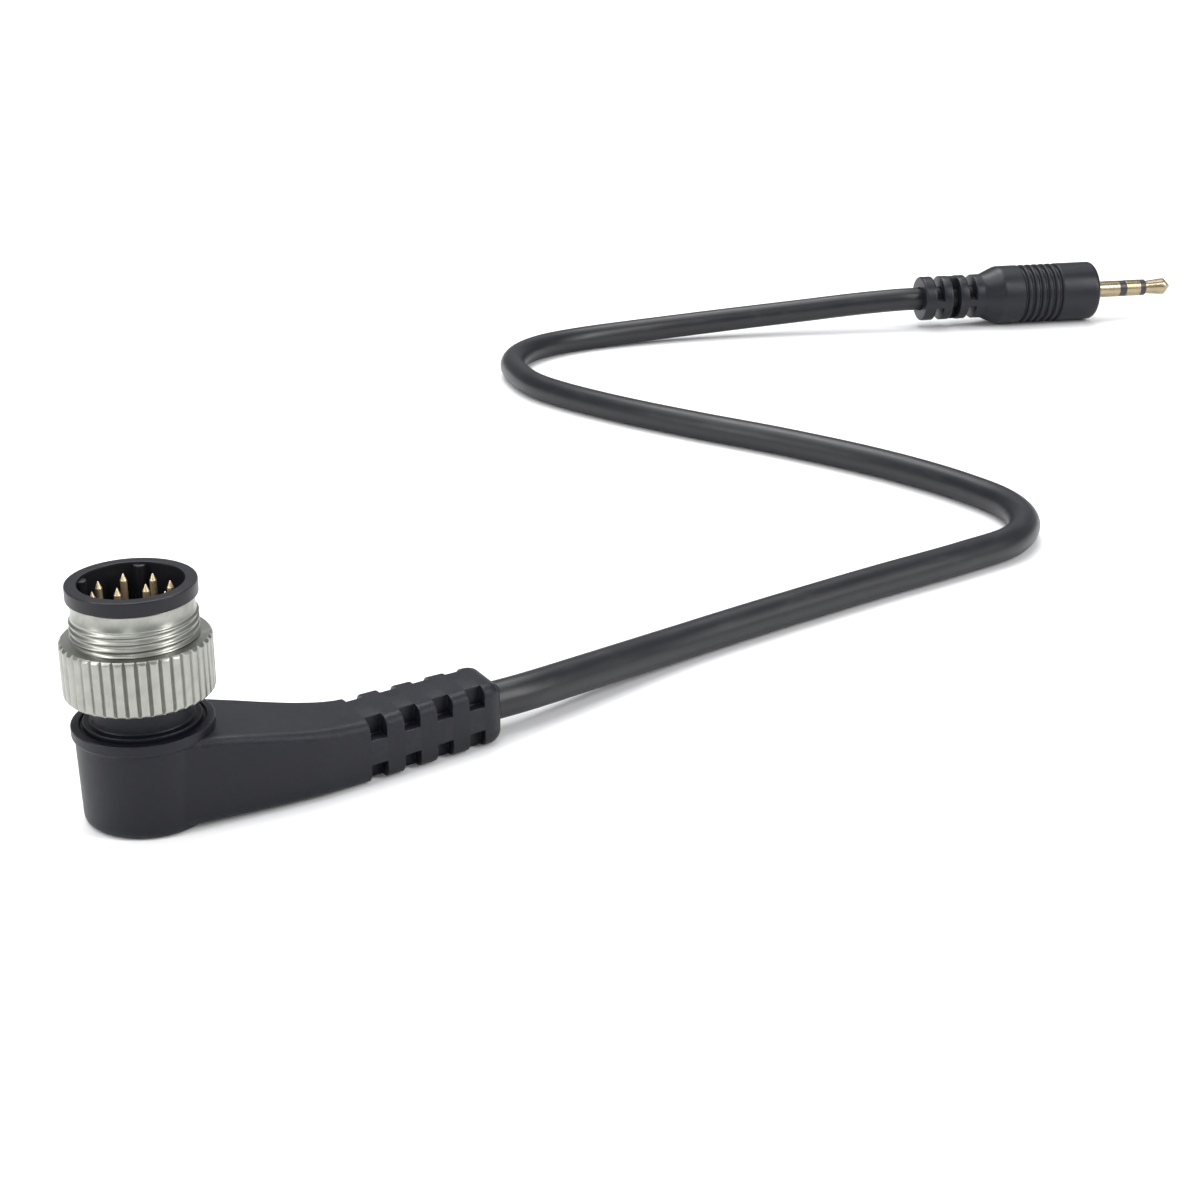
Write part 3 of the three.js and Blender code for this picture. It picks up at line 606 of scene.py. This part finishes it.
pin_places = [(PIN_RING, PIN_TURN - 45 * i) for i in range(8)]
pin_places += [(PIN_PAIR, PIN_TURN), (PIN_PAIR, PIN_TURN - 180)]
pin_profile = eased([
    [0.1, PIN_FOOT, 0], [PIN_R, PIN_FOOT, 0.06], [PIN_R, PIN_SHOULDER - 0.02, 0.05],
    [PIN_R - 0.05, PIN_SHOULDER + 0.08, 0.04], [0.045, PIN_TIP - 0.03, 0.02], [0.012, PIN_TIP, 0],
], 4)
for number, (away, turn) in enumerate(pin_places, 1):
    centre = np.array([away * np.cos(np.radians(turn)), away * np.sin(np.radians(turn)), 0])
    pin = turned(f"pin_{number:02d}", pin_profile, 32)
    pin.data.transform(Matrix.Translation(centre * MM))
    mark_edges(pin, 2.0)
    pin.data.materials.append(turned_metal(
        f"pin_gilt_{number:02d}", (0.88, 0.74, 0.50), (0.52, 0.41, 0.25), 0.34, 16000.0, 0.000006,
        centre * MM, stain_size=2500.0,
    ))
    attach(pin, "root")
    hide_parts(f"contact_pin_{number:02d}")

# ---- Coupling ring ----
# Turned from one brass bar and nickel plated: forty straight knurls to grip, a short fine screw
# thread above them, and a smooth lead that finds the socket.
RING_BOTTOM, RING_SHOULDER, RING_TOP, RING_R = 10.7, 15.3, 18.55, 5.9
LEAD_R, BORE_R, LOWER_R = 4.76, 4.42, 4.3
TEETH, TOOTH_DEPTH, TOOTH_CHAMFER, TOOTH_BEVEL = 40, 0.23, 0.28, 0.21
CREST_R, ROOT_R, PITCH, FIRST_CREST, THREAD_END = 4.98, 4.8, 0.57, 15.31, 17.3
PER_TOOTH = 24


def ring_rows():
    """Heights and limits of the ring's outside: a chamfered band for the knurls, the level
    shoulder, the threaded length with close rows for the helix, the lead and its rounded mouth."""
    rise = np.linspace(0, 1, 11)
    chamfer_up = [(RING_R - TOOTH_BEVEL * (1 - s) ** 1.6, RING_BOTTOM + TOOTH_CHAMFER * s, 1) for s in rise]
    band = [(RING_R + 0.01, z, 1) for z in np.linspace(RING_BOTTOM + 0.6, RING_SHOULDER - 0.6, 8)]
    chamfer_down = [(RING_R - TOOTH_BEVEL * s**1.6, RING_SHOULDER - TOOTH_CHAMFER * (1 - s), 1) for s in rise]
    shoulder = [(5.3, RING_SHOULDER, 0), (4.95, RING_SHOULDER, 0), (4.9, RING_SHOULDER + 0.01, 0)]
    thread = [(ROOT_R, z, 2) for z in np.arange(RING_SHOULDER + 0.05, 17.36, PITCH / 20)]
    lead = eased([
        [LEAD_R, 17.4, 0], [LEAD_R, RING_TOP, 0.1], [BORE_R, RING_TOP, 0.05], [BORE_R, 18.0, 0],
    ])
    lead = [(r, z, 0) for r, z in lead]
    bore = [(BORE_R, z, 0) for z in (17, 15, 13, 12.35)]
    bore += [(4.9, 12.35, 0), (4.9, 11.65, 0), (LOWER_R, 11.65, 0), (LOWER_R, 10.85, 0)]
    bore += [(LOWER_R + 0.15, RING_BOTTOM, 0), (5.3, RING_BOTTOM, 0)]
    return np.array(chamfer_up + band + chamfer_down + shoulder + thread + lead + bore)


def tooth_cut(turn):
    """Depth below the ring's radius round a knurl: a flat crest, sloped flanks and a narrow root."""
    spot = np.abs((turn * TEETH / (2 * np.pi) + 0.5) % 1 - 0.5)  # 0.5 at the crest's middle
    flank = np.clip((0.19 - spot) / 0.17, 0, 1)
    crown = 0.035 * (1 - np.clip((spot - 0.19) / 0.31, 0, 1)) ** 2
    return TOOTH_DEPTH * flank + crown


def thread_rise(turn, height):
    """A rounded crest that climbs one pitch each turn and runs out smoothly at both ends."""
    climb = (height - FIRST_CREST) / PITCH - (turn / (2 * np.pi) + 0.32) % 1
    crest = 0.5 + 0.5 * np.cos(2 * np.pi * (climb % 1))
    ends = np.clip((THREAD_END - height) / 0.14, 0, 1)
    return (CREST_R - ROOT_R) * crest**1.3 * ends


limits = ring_rows()
ring_turn = np.linspace(0, 2 * np.pi, TEETH * PER_TOOTH, endpoint=False)[None, :]
radius, height, kind = (limits[:, k][:, None] for k in (0, 1, 2))
ring_radius = np.where(kind == 1, np.minimum(radius, RING_R - tooth_cut(ring_turn)), radius + 0 * ring_turn)
ring_radius = np.where(kind == 2, ROOT_R + thread_rise(ring_turn, height), ring_radius)
ring_grid = np.stack([
    ring_radius * np.cos(ring_turn), ring_radius * np.sin(ring_turn), height + 0 * ring_turn,
], axis=-1)


def hoop(name, rings):
    """A closed mesh through a stack of rings whose last ring joins the first, like a tyre."""
    count, around, _ = rings.shape
    k = np.arange(around)
    row, above = np.arange(count)[:, None] * around, (np.arange(count)[:, None] + 1) % count * around
    step = (k + 1) % around
    quads = np.stack([row + k, row + step, above + step, above + k], axis=-1).reshape(-1, 4)
    mesh = bpy.data.meshes.new(name)
    mesh.from_pydata((rings.reshape(-1, 3) * MM).tolist(), [], quads.tolist())
    mesh.update()
    return place(name, mesh)


ring = hoop("screw_ring", ring_grid)
mark_edges(ring, 3.5)
nickel = turned_metal("nickel_plate", (0.325, 0.330, 0.302), (0.265, 0.27, 0.24), 0.21, 14000.0, 0.000004)
ring.data.materials.append(nickel)
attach(ring, "ring")
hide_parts("coupling_ring")

# ---- Spring clip ----
# Open ring of sprung wire in a groove inside the coupling ring, which holds it on the neck.
# Only the CAD solid is needed, in bright drawn steel.
spring = turned_metal("sprung_wire", (0.55, 0.56, 0.57), (0.3, 0.3, 0.31), 0.35, 9000.0, 0.00001)
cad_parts["ring_clip"].material_slots[0].material = spring

# ---- Inside the plug ----
# Grey filling that pots the contacts, the crimp on the cable's end and three thin leads.
# All of it is closed in by the housing.
filler_grey = moulded("filler_grey", (0.3, 0.31, 0.33), (0.4, 0.4, 0.42), 0.7, 5000.0, 0.00003)
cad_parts["inner_mould"].material_slots[0].material = filler_grey
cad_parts["cable_crimp"].material_slots[0].material = spring
lead_skin = moulded("lead_skin", (0.5, 0.1, 0.08), (0.6, 0.2, 0.16), 0.45, 8000.0, 0.00001)
for number in (1, 2, 3):
    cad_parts[f"plug_lead_{number}"].material_slots[0].material = lead_skin

# ---- Jack handle ----
# Black moulded handle just under 9 mm across: a slotted sleeve that bends with the cable, a cone, a band of
# finger grooves and a plain barrel with a rounded front edge.
SLEEVE_R, BARREL_R, CONE_START, CONE_END, HANDLE_END = 3.3, 4.38, 9.7, 12.2, 27.95
SLOT_CENTRES, SLOT_WIDTH, WEB_WIDTH, SLOT_FLOOR, ROLL = (2.35, 4.95, 7.55), 1.25, 1.0, 1.5, np.radians(7)
GRIP_FIRST, GRIP_PITCH, GRIP_DEPTH, GRIP_COUNT = 15.95, 1.11, 0.38, 6


def on_jack(local):
    """Points built along +X from the handle's cable end, turned and set down at the jack's place."""
    x, y, z = np.moveaxis(np.asarray(local, float), -1, 0)
    return np.stack([
        JACK_FOOT[0] + x * np.cos(JACK_TURN) - y * np.sin(JACK_TURN),
        JACK_FOOT[1] + x * np.sin(JACK_TURN) + y * np.cos(JACK_TURN),
        JACK_FOOT[2] + z,
    ], axis=-1)


def slot_quarter(radius, depth, upright):
    """A quarter of the sleeve's section between the middle of a web and the middle of a slot.
    depth 0 is the full circle and 1 is the slot: in along the web's flat side, then round the
    floor. upright puts the web at the top instead of the side, on the same spacing of points."""
    half, e = WEB_WIDTH / 2, 0.07
    low, rim, high = np.arcsin(np.array([half - e, half, half + 4 * e]) / radius)
    near = np.concatenate([np.linspace(0, low, 6), np.linspace(low, rim + 0.02, 6)[1:],
                           np.linspace(rim + 0.02, high, 8)[1:]])
    turn = np.concatenate([near, np.linspace(high, np.pi / 2 - high, 17)[1:-1], (np.pi / 2 - near)[::-1]])
    full = radius * np.column_stack([np.cos(turn), np.sin(turn)])
    edge = radius * np.array([np.cos(rim), np.sin(rim)])
    foot = np.arcsin(half / SLOT_FLOOR)
    s = np.linspace(0, 1, 6)[1:, None]
    bend = (1 - s) ** 2 * full[5] + 2 * s * (1 - s) * edge + s**2 * (edge - (e, 0))
    wall = np.linspace(edge - (e, 0), SLOT_FLOOR * np.array([np.cos(foot), np.sin(foot)]), 8)[1:]
    round_floor = np.linspace(foot, np.pi / 2, len(turn) - 17)[1:]
    floor = SLOT_FLOOR * np.column_stack([np.cos(round_floor), np.sin(round_floor)])
    cut = np.vstack([full[:6], bend, wall, floor])
    if upright:
        cut = cut[::-1, ::-1]
    return full + depth * (cut - full)


def sleeve_ring(x, radius, depth, upright):
    """The quarter and its three mirror images, all at one place and rolled about the axis."""
    q = slot_quarter(radius, depth, upright)
    mirrored = q[::-1][1:] * (-1, 1)
    across, up = np.vstack([q, mirrored, -q[1:], -mirrored[:-1]]).T
    c, s = np.cos(ROLL), np.sin(ROLL)
    return np.column_stack([np.full(len(across), x), across * c - up * s, across * s + up * c])


def handle_rings():
    """The handle's outline carried round its axis, with each slot's walls as two rings at one place."""
    lip = [(0.09, 0.0), (0.045, 0.008), (0.012, 0.024), (0.0, 0.045), (0.0, 0.95), (-0.012, 0.98),
           (-0.045, 0.995), (-0.09, 1.0)]
    rings = []
    for x, radius in eased([[0.25, 1.76, 0], [0, 1.76, 0.06], [0, SLEEVE_R, 0.45], [0.7, SLEEVE_R, 0]], 8):
        rings.append(sleeve_ring(x, radius, 0, False))
    for row, centre in enumerate(SLOT_CENTRES):
        start, end = centre - SLOT_WIDTH / 2, centre + SLOT_WIDTH / 2
        stations = [(centre - 1.3 + 0.4 * k, 0.0) for k in range(2)]
        stations += [(start - out, depth) for out, depth in lip]
        stations += [(x, 1.0) for x in np.linspace(start + 0.25, end - 0.25, 4)]
        stations += [(end + out, depth) for out, depth in lip[::-1]]
        rings += [sleeve_ring(x, SLEEVE_R, depth, row % 2 == 1) for x, depth in stations]
    outline = [[8.5, SLEEVE_R, 0], [CONE_START, SLEEVE_R, 0.35], [CONE_END, BARREL_R, 0.35]]
    for groove in range(GRIP_COUNT):
        x = GRIP_FIRST + groove * GRIP_PITCH
        outline += [[x - 0.36, BARREL_R, 0.12], [x - 0.1, BARREL_R - GRIP_DEPTH, 0.1],
                    [x + 0.1, BARREL_R - GRIP_DEPTH, 0.1], [x + 0.36, BARREL_R, 0.12]]
    outline += [[HANDLE_END, BARREL_R, 0.75], [HANDLE_END, 1.4, 0.05], [HANDLE_END - 0.3, 1.4, 0]]
    rings += [sleeve_ring(x, radius, 0, False) for x, radius in eased(outline, 8)]
    return np.array(rings)


handle = skin("jack_grip", on_jack(handle_rings()))
mark_edges(handle, 3.0)
handle.data.materials.append(moulded(
    "jack_black", (0.0075, 0.0080, 0.0120), PALE_RUB_AND_HIGHLIGHT, 0.36, 7000.0, 0.00003, Specular_IOR_Level=0.29,
))
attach(handle, "root")
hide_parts("jack_handle")

# ---- Jack plug ----
# Three-pole plug pin 2.5 mm across: gilt sleeve, ring and necked tip, turned separately and
# stacked on one axis with two black insulating bands between them.
POLE_R, SLEEVE_END, RING_START, RING_END, TIP_START, TIP_END = 1.25, 32.6, 33.7, 36.05, 36.95, 41.35
GAP, CORE_R = 0.03, 0.9
gilt = turned_metal(
    "jack_gilt", (0.36, 0.30, 0.20), (0.28, 0.23, 0.14), 0.14, 9000.0, 0.000006,
    JACK_FOOT * MM, JACK_TURN, 700.0,
)
band_black = moulded("band_black", (0.02, 0.02, 0.024), (0.06, 0.06, 0.07), 0.35, 9000.0, 0.000008)


def pole(name, corners, node_name, finish):
    """A turned pole about the jack's axis, from [distance, radius, easing] corners."""
    profile = eased(corners, 5)
    turn = np.linspace(0, 2 * np.pi, 72, endpoint=False)
    piece = mark_edges(skin(name, on_jack(np.stack([
        np.repeat(profile[:, :1], 72, axis=1), profile[:, 1:] * np.cos(turn), profile[:, 1:] * np.sin(turn),
    ], axis=-1))), 2.5)
    piece.data.materials.append(finish)
    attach(piece, "root")
    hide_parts(node_name)
    return piece


poles = [
    pole("gilt_sleeve", [
        [27.4, 0.5, 0], [27.4, POLE_R, 0.04], [SLEEVE_END, POLE_R, 0.05], [SLEEVE_END, 0.5, 0],
    ], "jack_sleeve", gilt),
    pole("gilt_ring", [
        [RING_START, 0.5, 0], [RING_START, POLE_R, 0.05], [RING_END, POLE_R, 0.05], [RING_END, 0.5, 0],
    ], "jack_ring", gilt),
    pole("gilt_tip", [
        [32.0, 0.4, 0], [32.0, CORE_R, 0.02], [TIP_START, CORE_R, 0.01], [TIP_START, 0.98, 0.03],
        [TIP_START + 0.4, 1.0, 0.1], [TIP_START + 2.9, POLE_R, 0.5], [TIP_START + 3.25, POLE_R, 0.12],
        [TIP_END - 0.2, 0.33, 0.15], [TIP_END - 0.01, 0.12, 0.05], [TIP_END, 0.03, 0],
    ], "jack_tip", gilt),
    pole("black_band_1", [
        [SLEEVE_END + GAP, 0.5, 0], [SLEEVE_END + GAP, POLE_R - 0.02, 0.02],
        [RING_START - GAP, POLE_R - 0.02, 0.02], [RING_START - GAP, 0.5, 0],
    ], "jack_band_1", band_black),
    pole("black_band_2", [
        [RING_END + GAP, 0.5, 0], [RING_END + GAP, POLE_R - 0.02, 0.02],
        [TIP_START - GAP, POLE_R - 0.02, 0.02], [TIP_START - GAP, 0.5, 0],
    ], "jack_band_2", band_black),
]

# ---- Inside the jack ----
# Grey filling, the crimp on this end of the cable and three thin leads back to the poles.
# All of it is closed in by the handle.
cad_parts["jack_inner_mould"].material_slots[0].material = filler_grey
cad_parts["jack_crimp"].material_slots[0].material = spring
for number in (1, 2, 3):
    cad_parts[f"jack_lead_{number}"].material_slots[0].material = lead_skin

# ---- Table and light ----
# Matt white table under a pale room, with a wide soft box overhead and one over the far table.
# Three tall narrow ones in front and at the sides draw the soft lines along the mouldings.
table_mesh = bpy.data.meshes.new("table")
table_mesh.from_pydata([(-3, -3, -1e-5), (3, -3, -1e-5), (3, 3, -1e-5), (-3, 3, -1e-5)], [], [(0, 1, 2, 3)])
table_top = place("table", table_mesh)
white, white_tree, white_shader = new_material("matt_white", 0.0, 0.9)
faint = noise(white_tree, node(white_tree, "ShaderNodeTexCoord").outputs["Object"], 40.0, 2.0)
paint = blend_colour(white_tree, faint, (0.86, 0.86, 0.87, 1), (0.89, 0.89, 0.89, 1))
white_tree.links.new(paint, white_shader.inputs["Base Color"])
table_mesh.materials.append(white)

room = bpy.data.worlds.new("room")
room.use_nodes = True
room.node_tree.nodes["Background"].inputs["Color"].default_value = (0.95, 0.97, 1.0, 1)
room.node_tree.nodes["Background"].inputs["Strength"].default_value = 0.37
bpy.context.scene.world = room
bpy.context.scene.view_settings.view_transform = "Standard"


def soft_box(name, where, target, width, tall, power):
    """A rectangular soft light that faces its target."""
    light = bpy.data.lights.new(name, "AREA")
    light.shape, light.size, light.size_y, light.energy = "RECTANGLE", width, tall, power
    lamp = bpy.data.objects.new(name, light)
    lamp.location = where
    lamp.rotation_euler = (Vector(target) - Vector(where)).to_track_quat("-Z", "Y").to_euler()
    bpy.context.scene.collection.objects.link(lamp)


soft_box("overhead", (0.02, 0.20, 0.90), (0.08, 0.06, 0), 1.1, 0.8, 8.8)
soft_box("far_table", (0.45, 0.95, 1.50), (0.45, 0.90, 0), 1.2, 0.6, 13.0)
soft_box("left_side", (-0.50, 0.02, 0.32), (0, 0, 0.01), 0.12, 0.5, 1.9)
soft_box("front_strip", (-0.27, -0.52, 0.30), (0, 0, 0.01), 0.05, 0.5, 0.55)
soft_box("right_side", (0.38, -0.40, 0.35), (0.03, 0, 0.01), 0.12, 0.5, 2.4)
